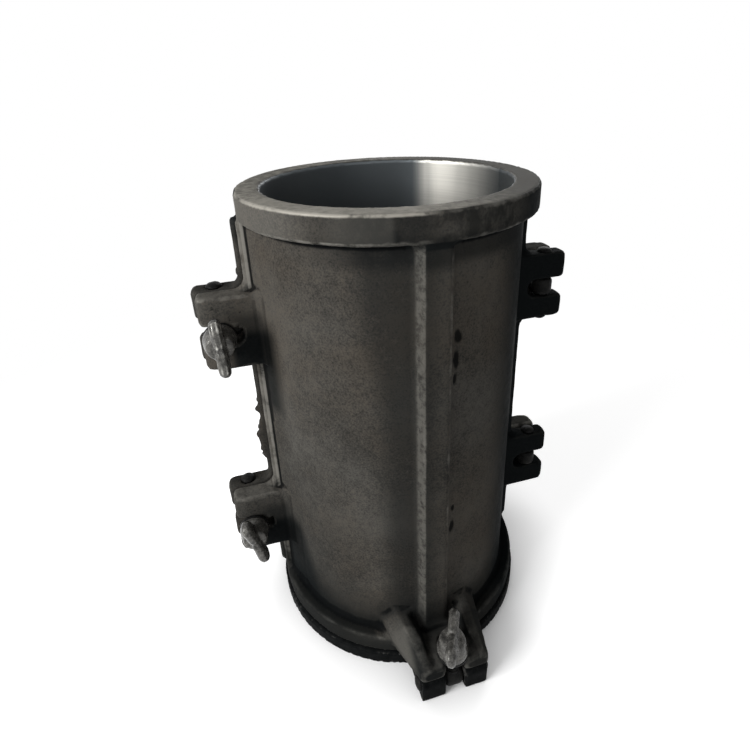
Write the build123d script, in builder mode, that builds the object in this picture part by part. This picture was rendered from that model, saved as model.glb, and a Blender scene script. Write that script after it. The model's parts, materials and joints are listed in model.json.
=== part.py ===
from build123d import *
import os

# A split cast-iron mould for concrete test cylinders, in millimetres, +Z up.
# The origin is at the centre of the base plate's underside. The front half shell
# faces -Y, and the two halves meet on the XZ plane.

# Cavity, wall and rings
bore_radius = 75.0
cavity_height = 300.0
wall_thickness = 7.0
collar_width = 8.0
collar_height = 16.0
flange_width = 9.0
flange_height = 13.0
ring_root_fillet = 3.0
ring_edge_round = 1.6

# Base plate
base_thickness = 10.0
base_overhang = 1.5

# Seam between the halves
seam_gap = 0.1
slot_flange_reach = 9.0
slot_flange_edge = 5.0
pivot_flange_reach = 12.0
pivot_flange_edge = 8.0
seam_flange_slope = 3.0
seam_taper_height = 4.5
seam_taper_inset = 0.2

# Rib down the middle of each half
rib_height = 5.5
rib_face_width = 15.0
rib_foot_width = 24.0

# Lugs on the seams
bolt_stand_off = 27.0
slot_lug_tip_margin = 11.0
pivot_lug_tip_margin = 14.0
lug_height = 47.5
lower_lug_level = 80.25
upper_lug_level = 229.55
lug_root_fillet = 7.0
lug_gusset = 5.0
lug_corner_radius = 3.0
pivot_lug_thickness = 13.0
slot_lug_thickness = 15.0
slot_width = 12.5
slot_run_in = 14.0
slot_drop = 0.9
lug_relief = 0.3

# Bottom lugs that clamp the halves to the base plate
bottom_lug_seat_level = 29.0
bottom_lug_tip_margin = 7.5
bottom_lug_tip_width = 45.0
bottom_lug_tip_crest_width = 39.0
bottom_lug_tip_shoulder = 3.0
bottom_lug_root_depth = 71.0
bottom_lug_root_offset = -2.0
bottom_lug_root_width = 68.0
bottom_lug_root_crest_width = 52.0
bottom_lug_root_rise = 15.5
bottom_lug_root_shoulder = 5.0
pocket_root_floor_width = 20.0
pocket_root_width = 45.0
pocket_tip_floor_width = 32.0
pocket_tip_width = 36.0
base_clamp_offset = 3.0

# Ears on the base plate
ear_height = 17.0
ear_width = 45.0
ear_step_clearance = 8.0
ear_nose_radius = 5.0
lug_over_ear_clearance = 0.5
base_pin_level = 9.0

# Swing bolts and their pivot pins
bolt_diameter = 10.0
bolt_end_chamfer = 1.2
bolt_end_clearance = 0.5
eye_diameter = 14.0
eye_thickness = 11.5
eye_edge_round = 2.4
eye_rest_clearance = 0.3
eye_bore_clearance = 0.08
pin_diameter = 8.0
pin_fit_clearance = 0.03
pin_head_diameter = 10.0
pin_head_height = 2.6
pin_head_chamfer = 1.6

# Washers and wing nuts
washer_diameter = 20.0
washer_thickness = 2.0
washer_bore_clearance = 0.3
seat_clearance = 0.3
nut_hub_height = 12.0
nut_hub_foot_height = 3.0
nut_hub_foot_diameter = 20.0
nut_hub_top_diameter = 16.0
nut_thread_clearance = 0.05
wing_reach = 18.5
wing_top = 18.5
wing_tip_radius = 6.0
wing_root_radius = 5.5
wing_root_offset = 4.0
wing_root_level = 11.5
wing_thickness = 7.0
wing_edge_chamfer = 2.0

# Sizes that follow from those above
wall_radius = bore_radius + wall_thickness
wall_middle_radius = bore_radius + wall_thickness / 2
collar_radius = wall_radius + collar_width
flange_radius = wall_radius + flange_width
base_radius = flange_radius + base_overhang
rim_level = base_thickness + cavity_height
flange_top = base_thickness + flange_height
collar_underside = rim_level - collar_height
slot_flange_radius = wall_radius + slot_flange_reach
pivot_flange_radius = wall_radius + pivot_flange_reach
seam_taper_radius = wall_radius + seam_taper_height
rib_radius = wall_radius + rib_height
bolt_circle_radius = wall_radius + bolt_stand_off
slot_lug_tip = bolt_circle_radius + slot_lug_tip_margin
pivot_lug_tip = bolt_circle_radius + pivot_lug_tip_margin
lug_sides = ((-1, slot_lug_tip, slot_lug_thickness), (1, pivot_lug_tip, pivot_lug_thickness))
seam_sides = ((-1, slot_flange_radius, slot_flange_edge), (1, pivot_flange_radius, pivot_flange_edge))
lug_levels = (lower_lug_level, upper_lug_level)
slot_round_radius = bolt_circle_radius - slot_run_in + slot_width / 2
pivot_depth = pivot_lug_thickness / 2
side_seat_distance = pivot_depth + slot_lug_thickness
bottom_lug_tip = bolt_circle_radius + bottom_lug_tip_margin
bottom_lug_underside = ear_height + lug_over_ear_clearance
base_seat_distance = bottom_lug_seat_level - base_pin_level
ear_step_radius = flange_radius + ear_step_clearance
eye_drop = slot_drop + (slot_width - eye_thickness) / 2 - eye_rest_clearance


def rectangle_between(low, high):
    """A rectangle given by two opposite corners."""
    with Locations(((low[0] + high[0]) / 2, (low[1] + high[1]) / 2)):
        Rectangle(abs(high[0] - low[0]), abs(high[1] - low[1]))


def open_slot(side, across, tip):
    """A slot that is round at its inner end and open at the lug's tip, level with `across`."""
    with Locations((side * slot_round_radius, across)):
        Circle(slot_width / 2)
    half = slot_width / 2
    rectangle_between((side * slot_round_radius, across - half), (side * tip, across + half))


def lug_pair(side, tip):
    """The front view of the two lugs on one seam."""
    half = lug_height / 2
    for level in lug_levels:
        rectangle_between((side * wall_middle_radius, level - half), (side * tip, level + half))


def seam_flange_plan(side, radius, edge):
    """The plan of one seam flange, with a sloping face."""
    root = edge + seam_flange_slope
    Polygon(
        (side * wall_middle_radius, 0),
        (side * radius, 0),
        (side * radius, -edge),
        (side * seam_taper_radius, -root),
        (side * wall_middle_radius, -root),
        align=None,
    )


def lug_gusset_plan(side, thickness):
    """The plan of a lug's root, with a sloping gusset between the lug's face and the wall."""
    Polygon(
        (side * wall_middle_radius, 0),
        (side * (wall_radius + lug_gusset), 0),
        (side * (wall_radius + lug_gusset), -thickness),
        (side * wall_middle_radius, -thickness - lug_gusset),
        align=None,
    )


def bottom_lug_section(centre, width, crest_width, shoulder_level, crest_level):
    """One end of the bottom lug: upright sides, sloping shoulders and a level crest."""
    Polygon(
        (centre - width / 2, bottom_lug_underside),
        (centre + width / 2, bottom_lug_underside),
        (centre + width / 2, shoulder_level),
        (centre + crest_width / 2, crest_level),
        (centre - crest_width / 2, crest_level),
        (centre - width / 2, shoulder_level),
        align=None,
    )


def pocket_section(centre, floor_width, width):
    """One end of the pocket in the bottom lug, widening upwards from its floor."""
    pocket_top = bottom_lug_seat_level + bottom_lug_root_rise
    Polygon(
        (centre - floor_width / 2, bottom_lug_seat_level),
        (centre + floor_width / 2, bottom_lug_seat_level),
        (centre + width / 2, pocket_top),
        (centre - width / 2, pocket_top),
        align=None,
    )


with BuildPart() as front_half_shell:
    # Wall with its collar and bottom flange, as a solid of revolution
    with BuildSketch(Plane.XZ) as wall_profile:
        with BuildLine():
            Polyline(
                (0, base_thickness),
                (flange_radius, base_thickness),
                (flange_radius, flange_top),
                (wall_radius, flange_top),
                (wall_radius, collar_underside),
                (collar_radius, collar_underside),
                (collar_radius, rim_level),
                (0, rim_level),
                close=True,
            )
        make_face()
        corners = wall_profile.vertices().filter_by(lambda v: base_thickness < v.Y)
        fillet(corners.filter_by(lambda v: abs(v.X - wall_radius) < ring_edge_round), ring_root_fillet)
        corners = wall_profile.vertices().filter_by(lambda v: base_thickness < v.Y)
        fillet(corners.filter_by(lambda v: v.X in (flange_radius, collar_radius)), ring_edge_round)
    revolve(axis=Axis.Z)

    # Upright seam flanges, and the thickening of the wall that runs up to them
    with BuildSketch(Plane.XY.offset(flange_top)):
        for side, radius, edge in seam_sides:
            seam_flange_plan(side, radius, edge)
    extrude(amount=collar_underside - flange_top)
    with BuildSketch(Plane.XY.offset(flange_top)):
        Circle(wall_radius - seam_taper_inset)
        for side, _, edge in seam_sides:
            rectangle_between((0, 0), (side * seam_taper_radius, -edge - seam_flange_slope))
        make_hull()
    extrude(amount=collar_underside - flange_top)

    # Slotted lugs on the left and pivot lugs on the right, with webs and gussets at their roots
    for (side, radius, edge), (_, tip, thickness) in zip(seam_sides, lug_sides):
        with BuildSketch(Plane.XZ) as webs:
            rectangle_between((side * wall_middle_radius, flange_top), (side * radius, collar_underside))
            lug_pair(side, tip)
            inner_corners = webs.vertices().filter_by(lambda v: flange_top < v.Y < collar_underside)
            fillet(inner_corners.filter_by(lambda v: abs(v.X) < bolt_circle_radius), lug_root_fillet)
            fillet(webs.vertices().filter_by(lambda v: abs(v.X) > bolt_circle_radius), lug_corner_radius)
        extrude(amount=edge)
        with BuildSketch(Plane.XZ) as lugs:
            lug_pair(side, tip)
            fillet(lugs.vertices().filter_by(lambda v: abs(v.X) > bolt_circle_radius), lug_corner_radius)
        extrude(amount=thickness)
        for level in lug_levels:
            with BuildSketch(Plane.XY.offset(level - lug_height / 2)):
                lug_gusset_plan(side, thickness)
            extrude(amount=lug_height)

    # Bottom lug, flaring from its tip to the wall
    with BuildSketch(Plane.XZ.offset(bottom_lug_root_depth)):
        bottom_lug_section(
            bottom_lug_root_offset,
            bottom_lug_root_width,
            bottom_lug_root_crest_width,
            bottom_lug_seat_level + bottom_lug_root_shoulder,
            bottom_lug_seat_level + bottom_lug_root_rise,
        )
    with BuildSketch(Plane.XZ.offset(bottom_lug_tip)):
        bottom_lug_section(
            base_clamp_offset,
            bottom_lug_tip_width,
            bottom_lug_tip_crest_width,
            bottom_lug_seat_level - bottom_lug_tip_shoulder,
            bottom_lug_seat_level,
        )
    loft(ruled=True)

    # Pocket for the wing nut between the cheeks of the bottom lug
    with BuildSketch(Plane.XZ.offset(wall_radius)):
        pocket_section(0, pocket_root_floor_width, pocket_root_width)
    with BuildSketch(Plane.XZ.offset(bottom_lug_tip)):
        pocket_section(base_clamp_offset, pocket_tip_floor_width, pocket_tip_width)
    loft(ruled=True, mode=Mode.SUBTRACT)

    # Rib, from the bottom lug up to the collar
    with BuildSketch(Plane.XY.offset(bottom_lug_underside)):
        with BuildLine():
            Polyline(
                (-rib_foot_width / 2, -wall_middle_radius),
                (rib_foot_width / 2, -wall_middle_radius),
                (rib_face_width / 2, -rib_radius),
                (-rib_face_width / 2, -rib_radius),
                close=True,
            )
        make_face()
    extrude(amount=collar_underside - bottom_lug_underside)

    # Nose of the bottom lug, round about the base pin so that the bolt swings clear
    with BuildSketch(Plane.YZ):
        rectangle_between((-bolt_circle_radius, base_pin_level), (-bottom_lug_tip, bottom_lug_seat_level))
        with Locations((-bolt_circle_radius, base_pin_level)):
            Circle(base_seat_distance, mode=Mode.SUBTRACT)
    extrude(amount=bottom_lug_root_width / 2, both=True, mode=Mode.SUBTRACT)

    # Noses of the side lugs: slotted ones round about the other half's pin, pivot ones about their own
    lug_noses = ((pivot_depth, side_seat_distance), (-pivot_depth, pivot_lug_tip_margin))
    for (side, tip, thickness), (pin_y, nose_radius) in zip(lug_sides, lug_noses):
        with BuildSketch(Plane.XY.offset(flange_top)):
            rectangle_between((side * bolt_circle_radius, 0), (side * tip, -thickness))
            with Locations((side * bolt_circle_radius, pin_y)):
                Circle(nose_radius, mode=Mode.SUBTRACT)
        extrude(amount=collar_underside - flange_top, mode=Mode.SUBTRACT)

    # Slots for the swing bolts
    with BuildSketch(Plane.XZ):
        for side, tip, _ in lug_sides:
            for level in lug_levels:
                open_slot(side, level - slot_drop, tip)
    extrude(amount=slot_lug_thickness, mode=Mode.SUBTRACT)
    with BuildSketch(Plane(origin=(0, 0, bottom_lug_underside), x_dir=(0, -1, 0), z_dir=(0, 0, 1))):
        open_slot(1, base_clamp_offset, bottom_lug_tip)
    extrude(amount=bottom_lug_root_rise, mode=Mode.SUBTRACT)

    # Holes for the pivot pins
    with BuildSketch(Plane.XY.offset(flange_top)):
        with Locations((bolt_circle_radius, -pivot_depth)):
            Circle(pin_diameter / 2 + pin_fit_clearance)
    extrude(amount=collar_underside - flange_top, mode=Mode.SUBTRACT)

    # Bore, and the face that meets the other half, with the lugs standing back from it
    with BuildSketch(Plane.XY.offset(base_thickness)):
        Circle(bore_radius)
    extrude(amount=cavity_height, mode=Mode.SUBTRACT)
    with BuildSketch(Plane.XZ):
        for side, tip, _ in lug_sides:
            rectangle_between((side * pivot_flange_radius, flange_top), (side * tip, collar_underside))
    extrude(amount=seam_gap / 2 + lug_relief, mode=Mode.SUBTRACT)
    split(bisect_by=Plane.XZ.offset(seam_gap / 2), keep=Keep.TOP)

with BuildPart() as rear_half_shell:
    # The same casting, turned half way round
    add(front_half_shell.part.rotate(Axis.Z, 180))

with BuildPart() as base_plate:
    with BuildSketch():
        Circle(base_radius)
    extrude(amount=base_thickness)

    # Ears at the front and the rear, raised clear of the half shells
    for end in (-1, 1):
        ear_middle = -end * base_clamp_offset
        half_ear = ear_width / 2
        with BuildSketch():
            rectangle_between((ear_middle - half_ear, 0), (ear_middle + half_ear, end * bottom_lug_tip))
        extrude(amount=base_thickness)
        with BuildSketch(Plane.YZ.offset(ear_middle)) as ear_profile:
            rectangle_between((end * ear_step_radius, 0), (end * bottom_lug_tip, ear_height))
            upper_corners = ear_profile.vertices().filter_by(lambda v: v.Y > 0)
            fillet(upper_corners.filter_by(lambda v: abs(v.X) > bolt_circle_radius), ear_nose_radius)
        extrude(amount=half_ear, both=True)

    # Slots for the eyes of the base bolts, and holes for their pins
    with BuildSketch(Plane(origin=(0, 0, 0), x_dir=(0, -1, 0), z_dir=(0, 0, 1))):
        for side in (-1, 1):
            open_slot(side, side * base_clamp_offset, bottom_lug_tip)
    extrude(amount=ear_height, mode=Mode.SUBTRACT)
    with BuildSketch(Plane.YZ):
        with Locations((-bolt_circle_radius, base_pin_level), (bolt_circle_radius, base_pin_level)):
            Circle(pin_diameter / 2 + pin_fit_clearance)
    extrude(amount=ear_width, both=True, mode=Mode.SUBTRACT)


def swing_bolt(pivot, seat_distance):
    """An eye bolt about the pivot's Z axis, its shank along the pivot's X axis."""
    reach = seat_distance + seat_clearance + washer_thickness + nut_hub_height - bolt_end_clearance
    with BuildPart() as bolt:
        with BuildSketch(pivot):
            Circle(eye_diameter / 2)
        extrude(amount=eye_thickness / 2, both=True)
        eye_rims = bolt.edges().sort_by(Axis(pivot.origin, pivot.z_dir))
        fillet([eye_rims[0], eye_rims[-1]], eye_edge_round)
        with BuildSketch(Plane(origin=pivot.origin, x_dir=pivot.y_dir, z_dir=pivot.x_dir)):
            Circle(bolt_diameter / 2)
        extrude(amount=reach)
        chamfer(bolt.edges().sort_by(Axis(pivot.origin, pivot.x_dir))[-1], bolt_end_chamfer)
        with BuildSketch(pivot):
            Circle(pin_diameter / 2 + eye_bore_clearance)
        extrude(amount=eye_thickness, both=True, mode=Mode.SUBTRACT)
    return bolt.part


def pivot_pin(pivot, grip):
    """A riveted pin along the pivot's Z axis, its heads on both sides of the lug."""
    with BuildPart() as pin:
        for end in (-1, 1):
            with BuildSketch(pivot.offset(end * grip / 2)):
                Circle(pin_head_diameter / 2)
            extrude(amount=end * pin_head_height)
        head_rims = pin.edges().sort_by(Axis(pivot.origin, pivot.z_dir))
        chamfer([head_rims[0], head_rims[-1]], pin_head_chamfer)
        with BuildSketch(pivot.offset(-grip / 2)):
            Circle(pin_diameter / 2)
        extrude(amount=grip)
    return pin.part


def washer(seat):
    """A plain round washer, lying on its seat."""
    with BuildPart() as ring:
        with BuildSketch(seat):
            Circle(washer_diameter / 2)
            Circle(bolt_diameter / 2 + washer_bore_clearance, mode=Mode.SUBTRACT)
        extrude(amount=washer_thickness)
    return ring.part


def wing_nut(seat):
    """A cast wing nut on its seat, closed at the top, its wings along the seat's X axis."""
    upright = Plane(origin=seat.origin, x_dir=seat.x_dir, z_dir=-seat.y_dir)
    with BuildPart() as nut:
        with BuildSketch(upright):
            with Locations((wing_root_offset, wing_root_level)):
                Circle(wing_root_radius)
            with Locations((wing_reach - wing_tip_radius, wing_top - wing_tip_radius)):
                Circle(wing_tip_radius)
            make_hull()
        extrude(amount=wing_thickness / 2, both=True)
        sides = nut.faces().filter_by(Axis(upright.origin, upright.z_dir))
        chamfer(sides.edges(), wing_edge_chamfer)
        mirror(about=Plane(origin=seat.origin, x_dir=seat.y_dir, z_dir=seat.x_dir))
        with BuildSketch(upright):
            with BuildLine():
                Polyline(
                    (0, 0),
                    (nut_hub_foot_diameter / 2, 0),
                    (nut_hub_foot_diameter / 2, nut_hub_foot_height),
                    (nut_hub_top_diameter / 2, nut_hub_height),
                    (0, nut_hub_height),
                    close=True,
                )
            make_face()
        revolve(axis=Axis(seat.origin, seat.z_dir))
        with BuildSketch(seat):
            Circle(bolt_diameter / 2 + nut_thread_clearance)
        extrude(amount=nut_hub_height, mode=Mode.SUBTRACT)
    return nut.part


def side_pivot(side, level):
    """The pivot of one side bolt: Z along its pin, X along its shank."""
    return Plane(
        origin=(side * bolt_circle_radius, -side * pivot_depth, level),
        x_dir=(0, side, 0),
        z_dir=(0, 0, 1),
    )


def base_pivot(end):
    """The pivot of one base bolt: Z along its pin, X along its upright shank."""
    return Plane(
        origin=(-end * base_clamp_offset, end * bolt_circle_radius, base_pin_level),
        x_dir=(0, 0, 1),
        z_dir=(end, 0, 0),
    )


# Each clamp: its name, the pivot of its bolt and the turn of its wings
left, right, front, rear = -1, 1, -1, 1
side_clamps = (
    ("upper_left", side_pivot(left, upper_lug_level), 3.0),
    ("lower_left", side_pivot(left, lower_lug_level), 17.0),
    ("upper_right", side_pivot(right, upper_lug_level), 12.0),
    ("lower_right", side_pivot(right, lower_lug_level), -20.0),
)
base_clamps = (
    ("front_base", base_pivot(front), 63.0),
    ("rear_base", base_pivot(rear), 117.0),
)

pieces = {
    "base_plate": base_plate.part,
    "front_half_shell": front_half_shell.part,
    "rear_half_shell": rear_half_shell.part,
}
# Each group of clamps: how far its seats are from the pins, the pins' grip, and how far the eyes have
# dropped in their slots to rest on the lower prong
clamp_groups = (
    (side_clamps, side_seat_distance, lug_height, eye_drop),
    (base_clamps, base_seat_distance, ear_width, 0),
)
for clamps, seat_distance, grip, drop in clamp_groups:
    for clamp, pivot, wing_turn in clamps:
        bolt_pivot = pivot.offset(-drop)
        washer_seat = Plane(
            origin=bolt_pivot.origin + pivot.x_dir * (seat_distance + seat_clearance),
            x_dir=pivot.z_dir,
            z_dir=pivot.x_dir,
        )
        nut_seat = Plane(
            origin=washer_seat.offset(washer_thickness).origin,
            x_dir=pivot.z_dir.rotate(Axis(pivot.origin, pivot.x_dir), wing_turn),
            z_dir=pivot.x_dir,
        )
        pieces[f"{clamp}_swing_bolt"] = swing_bolt(bolt_pivot, seat_distance)
        pieces[f"{clamp}_pivot_pin"] = pivot_pin(pivot, grip)
        pieces[f"{clamp}_washer"] = washer(washer_seat)
        pieces[f"{clamp}_wing_nut"] = wing_nut(nut_seat)

os.makedirs("parts", exist_ok=True)
for name, piece in pieces.items():
    piece.label = name
    export_step(piece, f"parts/{name}.step")
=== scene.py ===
import json
import math
import bmesh
import bpy
import numpy as np
from mathutils import Matrix, Vector, noise
from mathutils.bvhtree import BVHTree


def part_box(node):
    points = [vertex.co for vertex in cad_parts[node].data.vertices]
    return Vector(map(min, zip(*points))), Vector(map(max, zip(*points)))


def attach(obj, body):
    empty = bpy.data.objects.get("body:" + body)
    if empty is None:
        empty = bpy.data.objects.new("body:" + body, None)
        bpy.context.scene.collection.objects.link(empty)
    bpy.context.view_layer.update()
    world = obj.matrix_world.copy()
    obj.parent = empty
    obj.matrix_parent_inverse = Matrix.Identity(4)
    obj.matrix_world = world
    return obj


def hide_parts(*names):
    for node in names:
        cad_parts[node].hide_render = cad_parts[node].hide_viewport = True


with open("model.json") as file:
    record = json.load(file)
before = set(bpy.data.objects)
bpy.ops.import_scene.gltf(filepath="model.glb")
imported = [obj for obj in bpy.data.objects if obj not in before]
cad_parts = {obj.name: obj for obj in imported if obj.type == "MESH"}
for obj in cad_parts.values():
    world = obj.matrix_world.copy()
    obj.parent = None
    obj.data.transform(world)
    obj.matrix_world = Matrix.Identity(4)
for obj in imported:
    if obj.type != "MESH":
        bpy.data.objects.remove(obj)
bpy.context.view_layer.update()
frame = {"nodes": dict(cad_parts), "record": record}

bodyOf = {node: body for body, nodes in frame["record"]["behaviour"]["bodies"].items() for node in nodes}
clampNames = ("upper_left", "lower_left", "upper_right", "lower_right", "front_base", "rear_base")
mm = 0.001
samePlace = 1e-6


class Wire:  # one output socket, usable in sums
    def __init__(self, maker, node, socket):
        self.maker, self.node, self.socket = maker, node, socket

    def out(self, name):
        return Wire(self.maker, self.node, self.node.outputs[name])

    def __add__(self, other):
        return self.maker.sum("ADD", self, other)

    def __radd__(self, other):
        return self.maker.sum("ADD", other, self)

    def __sub__(self, other):
        return self.maker.sum("SUBTRACT", self, other)

    def __rsub__(self, other):
        return self.maker.sum("SUBTRACT", other, self)

    def __mul__(self, other):
        return self.maker.sum("MULTIPLY", self, other)

    def __rmul__(self, other):
        return self.maker.sum("MULTIPLY", other, self)

    def __truediv__(self, other):
        return self.maker.sum("DIVIDE", self, other)

    def __rtruediv__(self, other):
        return self.maker.sum("DIVIDE", other, self)

    def __pow__(self, other):
        return self.maker.sum("POWER", self, other)

    def __abs__(self):
        return self.maker.sum("ABSOLUTE", self, 0)


class NodeMaker:  # adds nodes to one tree
    def __init__(self, tree):
        self.tree = tree
        tree.nodes.clear()

    def add(self, kind, settings=None, sockets=None, output=0):
        node = self.tree.nodes.new(kind)
        for key, value in (settings or {}).items():
            setattr(node, key, value)
        for key, value in (sockets or {}).items():
            if isinstance(value, Wire):
                self.tree.links.new(value.socket, node.inputs[key])
            else:
                node.inputs[key].default_value = value
        return Wire(self, node, node.outputs[output] if len(node.outputs) else None)

    def sum(self, operation, first, second):
        return self.add("ShaderNodeMath", {"operation": operation}, {0: first, 1: second})

    def step(self, value, low, high):  # 0 below low, 1 above high, smooth between
        return self.add("ShaderNodeMapRange", {"interpolation_type": "SMOOTHSTEP"},
                        {"Value": value, "From Min": low, "From Max": high})

    def between(self, value, low, high, soft):  # 1 from low to high
        return self.step(value, low - soft, low) * (1 - self.step(value, high, high + soft))

    def mix(self, amount, first, second):
        first, second = (c if isinstance(c, Wire) else (*c, 1) for c in (first, second))
        return self.add("ShaderNodeMix", {"data_type": "RGBA"}, {0: amount, 6: first, 7: second}, 2)

    def blend(self, amount, first, second):
        return self.add("ShaderNodeMix", {"data_type": "FLOAT"}, {0: amount, 2: first, 3: second})

    def grain(self, scale, detail, rough, seed, stretch=(1, 1, 1)):
        where = self.add("ShaderNodeTexCoord").out("Object")
        shift = (seed, seed * 1.7, seed * 0.6)
        where = self.add("ShaderNodeMapping", None, {"Vector": where, "Location": shift, "Scale": stretch})
        return self.add("ShaderNodeTexNoise", None,
                        {"Vector": where, "Scale": scale, "Detail": detail, "Roughness": rough})

    def attribute(self, name):
        return self.add("ShaderNodeAttribute", {"attribute_name": name}).out("Fac")


def newFinish(name):
    material = bpy.data.materials.new(name)
    material.use_nodes = True
    return material, NodeMaker(material.node_tree)


def closeFinish(maker, fixed, varying):
    shader = maker.add("ShaderNodeBsdfPrincipled", None, {**fixed, **varying})
    maker.add("ShaderNodeOutputMaterial", None, {"Surface": shader})


def newPiece(name, mesh):
    piece = bpy.data.objects.new(name, mesh)
    bpy.context.scene.collection.objects.link(piece)
    return piece


def cadCopy(node):  # a merged copy of one CAD node
    work = bmesh.new()
    work.from_mesh(frame["nodes"][node].data)
    bmesh.ops.remove_doubles(work, verts=work.verts, dist=samePlace)
    return work


def plainMesh(piece):  # modifiers applied, as one mesh
    graph = bpy.context.evaluated_depsgraph_get()
    mesh = bpy.data.meshes.new_from_object(piece.evaluated_get(graph))
    piece.modifiers.clear()
    piece.data = mesh
    return mesh


class Skin:  # an even skin over a solid, its points as arrays
    sharpFrom = math.radians(55)

    def __init__(self, piece, solid=None):
        self.piece, self.solid, self.mesh = piece, solid, piece.data
        self.count = len(self.mesh.vertices)
        self.place = np.empty(self.count * 3)
        self.mesh.vertices.foreach_get("co", self.place)
        self.place = self.place.reshape(-1, 3)
        edges = np.empty(len(self.mesh.edges) * 2, dtype=np.int64)
        self.mesh.edges.foreach_get("vertices", edges)
        self.ends = edges.reshape(-1, 2)
        self.valence = np.maximum(np.bincount(edges, minlength=self.count), 1)

    def mean(self, values):  # mean over each point's neighbours
        first, second = self.ends[:, 0], self.ends[:, 1]
        columns = values.reshape(self.count, -1)
        total = [np.bincount(first, column[second], self.count) + np.bincount(second, column[first], self.count)
                 for column in columns.T]
        return (np.stack(total, 1) / self.valence[:, None]).reshape(values.shape)

    def relax(self, rounds):
        for _ in range(rounds):
            self.place += 0.5 * (self.mean(self.place) - self.place)

    def settle(self, close, far):  # back onto the solid's faces, but not at its edges
        found = [self.solid.find_nearest(spot) for spot in self.place.tolist()]
        spots = np.array([item[0][:] for item in found])
        away = np.array([item[3] for item in found])
        share = np.clip((far - away) / (far - close), 0, 1)
        self.place += share[:, None] * (spots - self.place)
        return np.array([item[1][:] for item in found]), share

    def normals(self):
        self.store()
        found = np.empty(self.count * 3)
        self.mesh.vertices.foreach_get("normal", found)
        return found.reshape(-1, 3)

    def bulge(self, rounds):  # above 0 on ridges, below 0 in corners
        bend = ((self.place - self.mean(self.place)) * self.normals()).sum(1)
        for _ in range(rounds):
            bend = 0.4 * bend + 0.6 * self.mean(bend)
        return bend

    def markBends(self, size, rounds):
        bend = self.bulge(rounds) / size
        # pale wear and painted glints on ridges, grime and painted shade in corners
        self.attribute("edgeWearAndGlint", np.clip(bend, 0, 1))
        self.attribute("grimeAndShade", np.clip(-bend, 0, 1))

    def swell(self, amount):  # moves each point along its normal
        self.place += self.normals() * amount[:, None]

    def keepWithin(self, node):
        low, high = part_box(node)
        self.place = np.clip(self.place, np.array(low), np.array(high))

    def store(self):
        self.mesh.vertices.foreach_set("co", self.place.ravel())
        self.mesh.update()

    def attribute(self, name, values):
        if name not in self.mesh.attributes:
            self.mesh.attributes.new(name, "FLOAT", "POINT")
        self.mesh.attributes[name].data.foreach_set("value", values.astype(np.float32))

    def finish(self, material):
        self.store()
        self.mesh.polygons.foreach_set("use_smooth", np.ones(len(self.mesh.polygons), dtype=bool))
        self.mesh.set_sharp_from_angle(angle=self.sharpFrom)
        self.mesh.materials.clear()
        self.mesh.materials.append(material)
        self.mesh.update()


def reskin(work, name, voxel):
    solid = BVHTree.FromBMesh(work)
    mesh = bpy.data.meshes.new(name)
    work.to_mesh(mesh)
    work.free()
    piece = newPiece(name, mesh)
    skin = piece.modifiers.new("skin", "REMESH")
    skin.mode = "VOXEL"
    skin.voxel_size = voxel
    plainMesh(piece)
    return Skin(piece, solid)


def unevenness(place, size, seed):
    return np.array([noise.noise(spot) for spot in (place / size + seed).tolist()])


def standFor(piece, node):
    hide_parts(node)
    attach(piece, bodyOf[node])


def lathe(profile, sides):  # turns (radius, height) points about Z
    work = bmesh.new()
    rings = []
    for radius, height in profile:
        if radius < samePlace:
            rings.append([work.verts.new((0, 0, height))])
        else:
            turns = (2 * math.pi * i / sides for i in range(sides))
            rings.append([work.verts.new((radius * math.cos(t), radius * math.sin(t), height)) for t in turns])
    for low, high in zip(rings, rings[1:]):
        for i in range(sides):
            j = (i + 1) % sides
            corners = [low[i % len(low)], low[j % len(low)], high[j % len(high)], high[i % len(high)]]
            work.faces.new(list(dict.fromkeys(corners)))
    bmesh.ops.recalc_face_normals(work, faces=work.faces)
    return work


def along(axis):  # turns +Z to an axis
    return Vector((0, 0, 1)).rotation_difference(Vector(axis)).to_matrix().to_4x4()


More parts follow.
